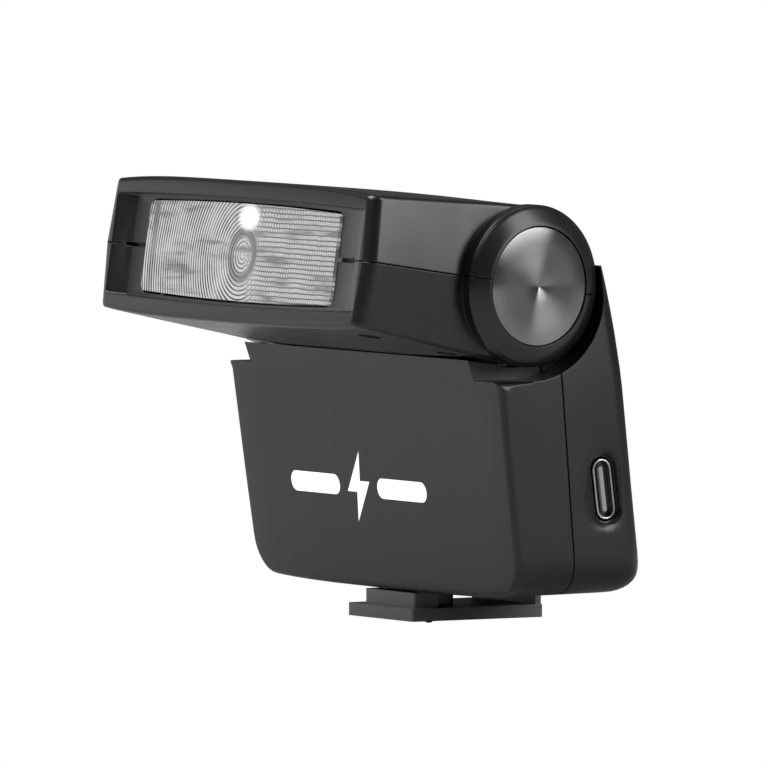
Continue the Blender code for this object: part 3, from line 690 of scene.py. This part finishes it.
def body_casing():
    """Whole body casing in one solid, before it's parted at the seam."""
    shell = block(body_block(0.0, SHOULDER_TOP))
    cut(shell, hollow_x(CRADLE_R, -31.0, 31.0), hollow_x(BARREL_R + GAP, -33.6, 33.6))
    for side in (-1, 1):
        near, far = end_region(side, TONGUE_HALF)
        cut(shell, hollow_x(SCOOP_R, near, far, SCOOP_Y, SCOOP_Z))
        cut(shell, box(near, far, -20, SCOOP_Y, LEDGE, 10))
    cut(shell, box(-45, 45, -20, 0, TONGUE_TOP, 10), under_head(), *shoulder_rounds())
    cut(shell, body_hollow())
    cut(shell, along_z(circle(BOSS_R + GAP, 48, 0.0, PIN_Y), -50, -43))
    for side in (-1, 1):
        near, far = sorted((side * (ARM_X - 0.6), side * (ARM_X + ARM_THICK + 0.6)))
        cut(shell, box(near, far, -ARM_HALF_Y - 0.8, ARM_HALF_Y + 0.8, -17, -9))
        cut(shell, along_z(circle(1.0, 16, side * FOOT_SCREW_X, FOOT_SCREW_Y), -50, -43))
    return shell


def on_rear(outline, z, depths):
    """Skin an (x, v) outline standing on the rear face, v running up the face."""
    lean = math.atan(REAR_LEAN)
    rings = []
    for depth in depths:
        rings.append([(x,
                       rear_y(z) + depth * math.cos(lean) - v * math.sin(lean),
                       z + depth * math.sin(lean) + v * math.cos(lean))
                      for x, v in outline])
    return loft(rings)


def port_ring(half_z, half_y, x):
    """Slot-shaped outline across the charging port, leaning with the body."""
    lean = math.atan(LEAN)
    ring = []
    for y, z in rounded_box(half_y, half_z, half_y * 0.98, 14):
        ring.append((x, PORT_Y + y * math.cos(lean) - z * math.sin(lean),
                     PORT_Z + y * math.sin(lean) + z * math.cos(lean)))
    return ring


def port_block(half_z, half_y, x0, x1):
    return loft([port_ring(half_z, half_y, x) for x in (x0, x1)])


def port_loft(*steps):
    """Skin port outlines, each given as its growth and its x."""
    return loft([port_ring(PORT_HALF_Z + grow, PORT_HALF_Y + grow, x) for grow, x in steps])


def rear_openings(shell):
    """Port mouth with a soft lip, window, buttons and screw holes."""
    cut(shell, port_loft((0.5, PORT_FACE - 0.2), (0.5, PORT_FACE), (0.62, 36.0), (0.85, 36.25),
                         (1.4, 36.5), (3.0, 37.0)))
    cut(shell, port_block(PORT_HALF_Z + GAP, PORT_HALF_Y + GAP, 30, 36))
    pane = rounded_box(PANEL_HALF_X + GAP, PANEL_HALF_Z + GAP, 1.6)
    cut(shell, on_rear(pane, PANEL_Z, (-4, 3)))
    for _, x, radius in BUTTONS:
        cut(shell, on_rear(circle(radius + GAP, 64, x), BUTTON_Z, (-4, 3)))
    for x, z in CASE_SCREWS:
        cut(shell, on_rear(circle(1.8, 32, x), z, (-1.25, 3)))
        cut(shell, on_rear(circle(1.2, 32, x), z, (-4, 3)))


def body_shells(looks):
    """Front and rear casings, parted at the seam."""
    front = body_casing()
    rear = block(front.data.copy())
    cut(front, beyond_seam(1))
    cut(rear, beyond_seam(-1))
    rear_openings(rear)
    piece("front_casing", front, looks["casing"], BODY_FRAME, "body",
          ["front_shell"])
    piece("rear_casing", rear, looks["casing"], BODY_FRAME, "body",
          ["rear_shell"])


# ---------------------------------------------------------------- head casing

def head_crown(ahead):
    """Rise of the top and bottom edges at their middle, fading out at the barrel."""
    share = (HEAD_FRONT - ahead) / HEAD_FRONT
    return CROWN * (1.0 - share ** 4)


def head_ring(ahead, inset, narrow, steps, count):
    """Outline of the head at a distance ahead of the hinge axis."""
    share = (HEAD_FRONT - ahead) / HEAD_FRONT
    half_h = head_half_h(ahead) - inset
    half_w = HEAD_HALF_W + (FLANK_HALF_W - HEAD_HALF_W) * min(share / 0.6, 1.0)
    half_w -= 1.45 * inset + narrow
    top_w = half_w - SIDE_DRAFT
    corner = max(0.8 - inset, 0.4)
    rise = head_crown(ahead)
    upper = [(u * top_w, half_h + rise * (1 - u ** 4), 0.0) for u in bow(count)]
    lower = [(-x, -z, 0.0) for x, z, _ in upper]
    corners = [(top_w, -half_h, corner), (half_w, 0.0, 0.0), (top_w, half_h, corner),
               *upper, (-top_w, half_h, corner), (-half_w, 0.0, 0.0),
               (-top_w, -half_h, corner), *lower]
    return [(x, -ahead, z) for x, z in rounded(corners, steps)]


def head_block():
    """Solid head with rounded front edges, before its barrel and end rings are joined."""
    side_r, top_r, steps = 1.9, 0.6, 12
    rings = []
    for k in range(steps + 1):
        turn = math.radians(90.0 * k / steps)
        rise = 1.0 - math.sin(turn)
        ahead = HEAD_FRONT - side_r * (1.0 - math.cos(turn))
        drop = edge_inset(HEAD_FRONT - ahead, top_r)
        ring = head_ring(ahead, 0.0, side_r * rise, 8, 23)
        rings.append([(x, y, z - math.copysign(drop, z) * min(abs(z) / 6.0, 1.0))
                      for x, y, z in ring])
    for ahead in (25.0, 21.0, 17.0, 14.0, 12.0, 9.0, 6.0, 3.0, 0.85):
        rings.append(head_ring(ahead, 0.0, 0.0, 8, 23))
    return loft(rings)


def end_ring(side):
    """Ring at one end of the barrel; its face slopes back from the disc to its edge."""
    inner, slope, edge_r = DISC_R + 0.3, 1.7, 0.3
    shoulder = RING_OUT - slope - edge_r
    profile = [(RING_IN, RING_R)]
    profile += [(x, r) for x, r in arc(shoulder, RING_R - edge_r, edge_r, 90, 20, 5)]
    for step in range(1, 9):
        share = step / 8
        profile.append((RING_OUT - slope * (1.0 - share) ** 1.25,
                        RING_R - (RING_R - inner) * share))
    return tilted(turned_x([(side * x, r) for x, r in profile]), side)


def pocket():
    """Shallow dish in front of the window, its ends sloping to the floor."""
    rings = []
    for ahead, half_w in ((HEAD_FRONT + 4.0, POCKET_HALF_W), (HEAD_FRONT, POCKET_HALF_W),
                          (HEAD_FRONT - 0.15, POCKET_HALF_W - 0.1),
                          (HEAD_FRONT - 0.93 * POCKET_DEPTH, POCKET_FLOOR_W + 0.35),
                          (HEAD_FRONT - POCKET_DEPTH, POCKET_FLOOR_W)):
        outline = crowned_box(half_w, POCKET_HALF_H, 0.5, LENS_CROWN, 4)
        rings.append([(x, -ahead, z) for x, z in outline])
    return loft(rings)


def head_inside():
    """Space inside the head casing, and the bore for the hinge shaft."""
    rings = [head_ring(a, WALL, 0.0, 3, 5) for a in (26.6, 14.0, 0.85)]
    space = block(loft(rings))
    inner_end = BARREL_END - 1.6
    join(space, turned_x([(-inner_end, BARREL_BORE), (inner_end, BARREL_BORE)], 64))
    join(space, along_x(circle(SHAFT_BORE, 32), -35.0, 35.0))
    return taken(space)


def head_casing():
    """Whole head casing in one solid, before it's parted at the split line."""
    shell = block(head_block())
    for side in (-1, 1):
        near, far = end_region(side, BARREL_END)
        cut(shell, tilted(hollow_x(RING_GROOVE_R, near, far), side))
    join(shell, turned_x([(-BARREL_END, BARREL_R), (BARREL_END, BARREL_R)]))
    for side in (-1, 1):
        join(shell, end_ring(side))
        near, far = end_region(side, RING_OUT - 1.3)
        cut(shell, tilted(hollow_x(DISC_R + 0.15, near, far), side))
    cut(shell, pocket(), head_inside())
    opening = crowned_box(LENS_HALF_W + GAP, LENS_HALF_H + GAP, 1.4, LENS_CROWN)
    cut(shell, along_y(opening, -30.0, -24.0))
    slot = sector(9.0, 13.0, -18.0, 108.0)
    for side in (-1, 1):
        near, far = sorted((side * (ARM_X - 0.6), side * (ARM_X + ARM_THICK + 0.6)))
        cut(shell, along_x(slot, near, far))
    return cut(shell, *split_grooves())


def split_grooves():
    """The visible groove of the split line: thin on the outside, wide by the window."""
    fine, wide, deep = 0.09, 0.3, 0.7
    floor_y = -(HEAD_FRONT - POCKET_DEPTH - deep)
    grooves = [box(1.0 - HEAD_HALF_W, 50, -40, 0.8 - HEAD_FRONT, -fine, fine),
               box(-33.0, 33.0, -40, floor_y, -wide, wide),
               box(-30, 30, 11.0, 14.0, -fine, fine)]
    for side in (-1, 1):
        near, far = end_region(side, FLANK_HALF_W - deep)
        front = -40 if side > 0 else 1.2 - HEAD_FRONT
        grooves.append(box(near, far, front, 20, -fine, fine))
    return grooves


def half_away(upper):
    """Block that takes one half of the head away."""
    low, high = (-20.0, 0.004) if upper else (-0.004, 20.0)
    return box(-50, 50, -40, 20, low, high)


def head_shells(looks):
    """Upper and lower head casings, with the screw holes in the lower one."""
    upper = head_casing()
    lower = block(upper.data.copy())
    cut(upper, half_away(True))
    cut(lower, half_away(False))
    for x, ahead in HEAD_SCREWS:
        seat = -head_half_h(ahead) + 1.25
        cut(lower, along_z(circle(1.8, 32, x, -ahead), -15.0, seat))
        cut(lower, along_z(circle(1.1, 32, x, -ahead), -15.0, seat + 3.0))
    piece("upper_head_casing", upper, looks["casing"], HEAD_FRAME, "head",
          ["upper_head_shell"])
    piece("lower_head_casing", lower, looks["casing"], HEAD_FRAME, "head",
          ["lower_head_shell"])


def end_discs(looks):
    """Spun discs in the end rings, each with a rounded edge and a shallow dish."""
    for name, side in (("end_disc_left", -1), ("end_disc_right", 1)):
        profile = [(RING_OUT - 1.0, DISC_R)]
        profile += arc(RING_OUT - 0.27, DISC_R - 0.12, 0.12, 90, 0, 4)
        profile += [(RING_OUT - 0.16, 6.0), (RING_OUT - 0.17, 3.0), (RING_OUT - 0.2, 0.25),
                    (RING_OUT - 0.26, 0.01)]
        mesh = tilted(turned_x([(side * x, r) for x, r in profile]), side)
        piece(f"{name}_spun", mesh, looks["spun_metal"], HEAD_FRAME, "head",
              [name])


# ---------------------------------------------------------------- window

def lens_half_h(x):
    """Half height of the window at a place across it, with its corners rounded."""
    corner = 1.1
    half = LENS_HALF_H + LENS_CROWN * (1 - (x / LENS_HALF_W) ** 2)
    return half - edge_inset(LENS_HALF_W - abs(x), corner)


def lens_relief(x, z):
    """Height of the ring relief: a saw-tooth that falls away from the centre."""
    radius = math.dist((x, z), LENS_CENTRE)
    return LENS_DEPTH * (1.0 - (radius / LENS_PITCH) % 1.0)


def lens_front(across, up):
    """Points of the window's front, column by column, with its ring relief."""
    points = []
    for i in range(across + 1):
        x = LENS_HALF_W * (2.0 * i / across - 1.0)
        half = lens_half_h(x)
        for j in range(up + 1):
            z = half * (2.0 * j / up - 1.0)
            points.append((x, LENS_DEPTH - LENS_FRONT - lens_relief(x, z), z))
    return points


def window_lens(looks):
    """Thick window: ring relief in front, a wall all round and a flat back."""
    across, up = ((500, 120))
    points = lens_front(across, up)
    rows = up + 1
    faces = []
    for i in range(across):
        for j in range(up):
            a = i * rows + j
            faces.append((a, a + rows, a + rows + 1, a + 1))
    border = list(range(rows))
    border += [i * rows + up for i in range(1, across + 1)]
    border += [across * rows + j for j in range(up - 1, -1, -1)]
    border += [i * rows for i in range(across - 1, 0, -1)]
    start = len(points)
    points += [(points[k][0], LENS_THICK - LENS_FRONT, points[k][2]) for k in border]
    count = len(border)
    for k in range(count):
        following = (k + 1) % count
        faces.append((border[k], border[following], start + following, start + k))
    faces.append(tuple(start + k for k in range(count)))
    piece("ribbed_window_painted_light", mesh_from(points, faces), looks["window"], HEAD_FRAME, "head",
          ["window_lens"], sharp=60.0)


# ---------------------------------------------------------------- foot and pin

def shoe_foot(looks):
    """Foot plate, front neck, round contact housing and rear wall."""
    sole = -HINGE_Z
    middle = -HINGE_Y
    front, rear = middle - FOOT_L / 2, middle + FOOT_L / 2
    under = BODY_BOTTOM - GAP
    plate = rounded([(FOOT_W / 2, front, 0.4), (FOOT_W / 2, rear, 0.4),
                     (-FOOT_W / 2, rear, 0.4), (-FOOT_W / 2, front, 0.4)], 6)
    foot = block(along_z(plate, sole, sole + FOOT_T))
    neck = rounded([(7.1, front + 1.65, 0.4), (7.1, front + 5.95, 0.4),
                    (-7.1, front + 5.95, 0.4), (-7.1, front + 1.65, 0.4)], 6)
    wall = [(-9.0, rear - 1.2), (9.0, rear - 1.2), (9.0, rear - 0.2), (-9.0, rear - 0.2)]
    join(foot, along_z(neck, sole + 1.0, under), along_z(wall, sole + 1.0, under + 0.7))
    join(foot, along_z(circle(BOSS_R, 64, 0.0, PIN_Y), sole + 1.0, sole + 8.5))
    cut(foot, along_z(circle(1.15, 32, 0.0, PIN_Y), sole - 1.0, sole + 2.0))
    cut(foot, along_z(circle(2.2, 32, 0.0, PIN_Y), sole + 1.0, sole + 7.6))
    for side in (-1, 1):
        hole = circle(1.1, 16, side * FOOT_SCREW_X, FOOT_SCREW_Y)
        cut(foot, along_z(hole, sole + 2.2, sole + 6.0))
    piece("foot_plate", foot, looks["foot"], BODY_FRAME, "body", ["shoe_foot"])


def contact_pin(looks):
    """Rounded pin with the flange that its spring presses on."""
    profile = [(-0.9, 0.3), (-0.86, 0.4), (-0.7, 0.58), (0.0, 0.85), (1.3, 0.85),
               (1.3, 1.8), (1.8, 1.8)]
    mesh = turned_z(profile)
    mesh.transform(Matrix.Translation(Vector((0.0, PIN_Y, -HINGE_Z)) * MM))
    piece("firing_pin", mesh, looks["steel"], BODY_FRAME, "contact_pin",
          ["contact_pin"])


# ---------------------------------------------------------------- port and rear controls

def charging_port(looks):
    """Rolled sleeve, the contact tongue inside it and a dark filler around that, painted shade
    that stands in for the dark depth of the port.
    """
    mouth = PORT_FACE
    sleeve = block(port_loft((0.0, 28.0), (0.0, mouth - 0.1), (-0.1, mouth)))
    cut(sleeve, port_loft((-0.3, 28.6), (-0.3, mouth - 0.1), (-0.15, mouth + 0.5)))
    piece("charging_sleeve", sleeve, looks["steel"], BODY_FRAME, "body",
          ["charging_port_sleeve"])
    tongue = port_block(3.34, 0.35, 28.9, mouth - 0.4)
    piece("charging_tongue", tongue, looks["contact_tongue"], BODY_FRAME, "body",
          ["charging_port_tongue"])
    # painted shade: a near-black filler where the port's cavity would be in shadow
    port_shade_filler = block(port_block(PORT_HALF_Z - 0.36, PORT_HALF_Y - 0.36, mouth - 4.0, mouth - 0.9))
    cut(port_shade_filler, port_block(3.4, 0.41, mouth - 5.0, mouth))
    piece("charging_port_painted_shade", port_shade_filler, looks["smoked_window"], BODY_FRAME, "body",
          [])


def rear_mesh(mesh, x, z):
    """Stand a mesh drawn about +Y on the rear face."""
    mesh.transform(Matrix.Rotation(math.atan(REAR_LEAN), 4, "X"))
    mesh.transform(Matrix.Translation(Vector((x, rear_y(z), z)) * MM))
    return mesh


def button_cap(radius):
    """Flanged round cap with a dished, softly rounded top."""
    profile = [(-3.9, radius + 0.7), (-2.6, radius + 0.7), (-2.6, radius)]
    profile += [(0.3 + y, radius - 0.35 + r) for r, y in arc(0.0, 0.0, 0.35, 0, 90, 6)]
    profile += [(0.6, radius * 0.55), (0.56, radius * 0.2), (0.55, 0.02)]
    return loft([[(u, y, v) for u, v in circle(reach, 64)] for y, reach in profile])


def mark_outlines(name, size):
    """Generic mark for a button: a list of (x, z) outlines."""
    bar = 0.14 * size
    level = [(size, -bar), (size, bar), (-size, bar), (-size, -bar)]
    upright = [(z, x) for x, z in level]
    if name == "minus_button":
        return [level]
    if name == "plus_button":
        return [level, upright]
    if name == "mode_button":
        return [rounded_box(size * 0.45, size * 0.45, size * 0.3, 6)]
    if name == "test_button":
        return [bolt(size * 1.15)]
    outside = arc(0.0, -0.1 * size, size, 60, -240, 40)
    inside = arc(0.0, -0.1 * size, size - 2 * bar, -240, 60, 40)
    return [outside + inside, [(bar, 0.1), (bar, size * 1.15), (-bar, size * 1.15), (-bar, 0.1)]]


def bolt(size):
    """Outline of a plain lightning bolt."""
    half = [(0.2, 1.0), (-0.62, -0.16), (-0.1, -0.16)]
    return [(x * size, z * size) for x, z in half + [(-x, -z) for x, z in half]]


def push_buttons(looks):
    """Five caps, each with its printed mark."""
    for name, x, radius in BUTTONS:
        cap = rear_mesh(button_cap(radius), x, BUTTON_Z)
        piece(f"{name}_cap", cap, looks["button"], BODY_FRAME, name, [name])
        for number, outline in enumerate(mark_outlines(name, radius * 0.42), 1):
            facing = [(-u, v) for u, v in outline]
            print_mesh = rear_mesh(along_y(facing, 0.5, 0.63), x, BUTTON_Z)
            piece(f"{name}_mark_{number}", print_mesh, looks["mark"], BODY_FRAME, name,
                  [])


def front_mark(looks):
    """Plain bolt between two bars, printed on the front face."""
    centre_x, centre_z, size = -4.9, -31.1, 5.2
    outlines = [[(centre_x + x, centre_z + z) for x, z in bolt(size)]]
    for side in (-1, 1):
        bar = rounded_box(7.0, 1.5, 1.49, 8)
        outlines.append([(centre_x + side * 12.4 + x, centre_z + z) for x, z in bar])
    for number, outline in enumerate(outlines, 1):
        mesh = loft([[(x, front_y(z) + y, z) for x, z in outline] for y in (0.2, -0.03)])
        piece(f"front_mark_{number}", mesh, looks["mark"], BODY_FRAME, "body", [])


def rear_window(looks):
    """Smoked window with a softened edge, flush with the rear face."""
    pane = rounded_box(PANEL_HALF_X, PANEL_HALF_Z, 1.4)
    mesh = on_rear(pane, PANEL_Z, (-1.5, -0.15))
    piece("indicator_pane", mesh, looks["smoked_window"], BODY_FRAME, "body",
          ["indicator_window"])


# ---------------------------------------------------------------- parts kept from the CAD

KEPT_NODES = {
    "steel": ["hinge_bracket", "hinge_shaft", "detent_spring", "detent_wheel",
              "contact_spring", "foot_screw_left", "foot_screw_right",
              *[f"case_screw_{n}" for n in (1, 2, 3, 4)],
              *[f"head_screw_{n}" for n in (1, 2, 3, 4)]],
    "board": ["main_board", "head_board"],
    "cell": ["battery_cell"],
    "capacitor": ["storage_capacitor"],
    "ferrite": ["boost_transformer"],
    "mirror": ["reflector"],
    "tube_glass": ["flash_tube"],
    "boot": ["tube_boot_left", "tube_boot_right"],
    "coil": ["trigger_coil"],
    "bush": ["hinge_bush_left", "hinge_bush_right"],
    "keypad": ["keypad_membrane"],
    "light_guide": ["light_guide"],
}


def paint_kept_nodes(looks):
    """Give every part that stays as the CAD has it a procedural finish."""
    for slot, names in KEPT_NODES.items():
        for name in names:
            node = frame["nodes"][name]
            node.data.materials.clear()
            node.data.materials.append(looks[slot])


# ---------------------------------------------------------------- floor, light, camera

AIM = BODY_FRAME @ (Vector((-4.84, -0.48, -16.11)) * MM)
CAMERA_AT = (59.1, 3.0, 2.571)        # azimuth, elevation, metres from the aim point
CAMERA_LENS = 817.6


def direction(azimuth, elevation):
    """Unit vector towards a place; azimuth 0 is in front of the flash, 90 on its right."""
    a, e = math.radians(azimuth), math.radians(elevation)
    return Vector((math.sin(a) * math.cos(e), -math.cos(a) * math.cos(e), math.sin(e)))


def seen_white(tree, white, unseen):
    """Shader that is plain white to the camera and something else to every other ray."""
    seen = add(tree, "LightPath").outputs["Is Camera Ray"]
    return add(tree, "MixShader", {0: seen, 1: unseen, 2: white}).outputs[0]


def studio_world(level):
    """Surroundings: white to the camera, a dim even level to everything else."""
    world = bpy.data.worlds.new("studio")
    world.use_nodes = True
    tree = world.node_tree
    dim = add(tree, "Background", {"Color": (level, level, level, 1.0)}).outputs[0]
    white = add(tree, "Background", {"Color": (1.0, 1.0, 1.0, 1.0)}).outputs[0]
    tree.links.new(seen_white(tree, white, dim), tree.nodes["World Output"].inputs[0])
    bpy.context.scene.world = world


def floor(shade):
    """Pale floor just under the foot, white to the camera."""
    half, level = 3000.0, -0.95 - HINGE_Z
    mesh = mesh_from([(-half, -half, level), (half, -half, level), (half, half, level),
                      (-half, half, level)], [(0, 1, 2, 3)])
    sheet = block(mesh, "floor")
    sheet.matrix_world = BODY_FRAME
    made, tree, shader = new_tree("pale_floor")
    tree.nodes.remove(shader)
    paper = spread(tree, noise(tree, 40.0, 3.0), 0.3, 0.7, shade * 0.97, shade)
    matte = add(tree, "BsdfDiffuse", {"Color": shade_of(tree, paper)}).outputs[0]
    white = add(tree, "Emission", {"Color": (1.0, 1.0, 1.0, 1.0)}).outputs[0]
    tree.links.new(seen_white(tree, white, matte),
                   tree.nodes["Material Output"].inputs["Surface"])
    mesh.materials.append(made)


def softbox(name, azimuth, elevation, distance, width, height, radiance):
    """Soft light that faces the hinge; radiance is its brightness as a mirror sees it."""
    light = bpy.data.lights.new(name, "AREA")
    light.shape = "RECTANGLE"
    light.size = width
    light.size_y = height
    light.energy = radiance * math.pi * width * height
    lamp = bpy.data.objects.new(name, light)
    bpy.context.scene.collection.objects.link(lamp)
    way = direction(azimuth, elevation)
    lamp.location = BODY_FRAME.translation + way * distance
    lamp.rotation_mode = "QUATERNION"
    lamp.rotation_quaternion = way.to_track_quat("Z", "Y")
    lamp.visible_camera = False


def studio():
    """Surroundings, floor and three soft lights."""
    studio_world(0.10)
    floor(0.5)
    softbox("key", 127.0, 30.0, 0.6, 0.26, 0.6, 5.6)
    softbox("overhead", -22.0, 56.0, 0.5, 0.4, 0.4, 7.5)
    softbox("front_fill", -74.0, -2.0, 0.5, 0.5, 0.24, 0.9)
    bpy.context.scene.view_settings.view_transform = "Standard"


def camera_in_place():
    """Camera at the photograph's viewing angle."""
    scene = bpy.context.scene
    camera = bpy.data.objects.new("camera", bpy.data.cameras.new("camera"))
    scene.collection.objects.link(camera)
    azimuth, elevation, distance = CAMERA_AT
    way = direction(azimuth, elevation)
    camera.location = AIM + way * distance
    camera.rotation_mode = "QUATERNION"
    camera.rotation_quaternion = way.to_track_quat("Z", "Y")
    camera.data.lens = CAMERA_LENS
    camera.data.clip_start = 0.05
    scene.camera = camera


def build():
    looks = make_materials()
    body_shells(looks)
    head_shells(looks)
    end_discs(looks)
    window_lens(looks)
    shoe_foot(looks)
    contact_pin(looks)
    charging_port(looks)
    push_buttons(looks)
    front_mark(looks)
    rear_window(looks)
    paint_kept_nodes(looks)
    studio()
    camera_in_place()


build()
